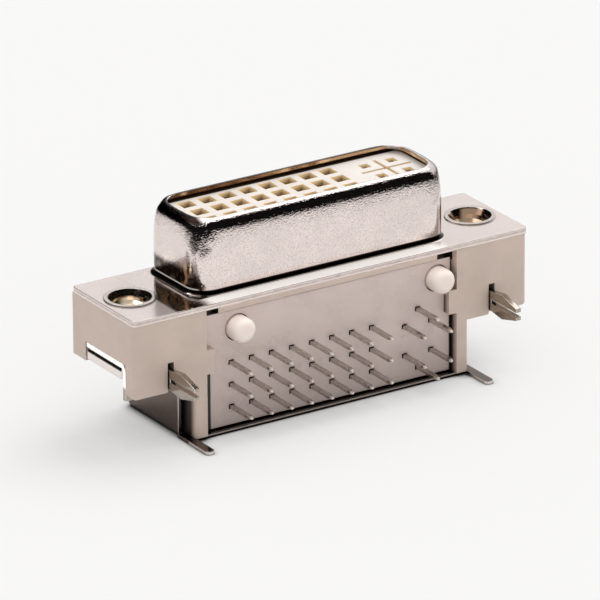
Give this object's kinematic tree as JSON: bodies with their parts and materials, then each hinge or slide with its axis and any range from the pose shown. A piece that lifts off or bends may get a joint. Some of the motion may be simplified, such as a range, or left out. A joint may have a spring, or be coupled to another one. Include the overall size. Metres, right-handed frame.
{
  "type": "dvi connector",
  "caption": "Right-angle DVI-I receptacle for a circuit board: drawn metal shell round a white pin carrier, wings with threaded inserts, rear shield and solder tails.",
  "frame": {"origin": "midway between the two jackscrew axes, on their line, at the underside of the rear shield that the part rests on", "axes": "+X along the connector from the signal contacts to the analog contacts, -Y towards the circuit board, +Z the way a plug is pulled out"},
  "size_m": [0.0374, 0.0137, 0.0178],
  "materials": {
    "nickel_shell": "nickel plate over drawn steel, fine grain",
    "nickel_shield": "nickel plate over folded sheet",
    "nickel_turned": "nickel plate, turned",
    "lock_metal": "tin plate, blanked edges",
    "contact_metal": "tin plated tails, gold flash in the cavities",
    "white_plastic": "moulded, satin",
    "beige_plastic": "glass-filled moulding, warm grey, satin",
    "grey_plastic": "moulded, smooth"
  },
  "bodies": {
    "root": {"front_shell": "nickel_shell", "insulator": "white_plastic", "outer_housing": "beige_plastic", "rear_shield": "nickel_shield", "tail_plate": "grey_plastic", "cross_contact": "contact_metal", "left_threaded_insert": "nickel_turned", "right_threaded_insert": "nickel_turned", "left_boardlock": "lock_metal", "right_boardlock": "lock_metal", "signal_contact_01": "contact_metal", "signal_contact_02": "contact_metal", "signal_contact_03": "contact_metal", "signal_contact_04": "contact_metal", "signal_contact_05": "contact_metal", "signal_contact_06": "contact_metal", "signal_contact_07": "contact_metal", "signal_contact_08": "contact_metal", "signal_contact_09": "contact_metal", "signal_contact_10": "contact_metal", "signal_contact_11": "contact_metal", "signal_contact_12": "contact_metal", "signal_contact_13": "contact_metal", "signal_contact_14": "contact_metal", "signal_contact_15": "contact_metal", "signal_contact_16": "contact_metal", "signal_contact_17": "contact_metal", "signal_contact_18": "contact_metal", "signal_contact_19": "contact_metal", "signal_contact_20": "contact_metal", "signal_contact_21": "contact_metal", "signal_contact_22": "contact_metal", "signal_contact_23": "contact_metal", "signal_contact_24": "contact_metal", "analog_contact_1": "contact_metal", "analog_contact_2": "contact_metal", "analog_contact_3": "contact_metal", "analog_contact_4": "contact_metal"}
  },
  "joints": []
}
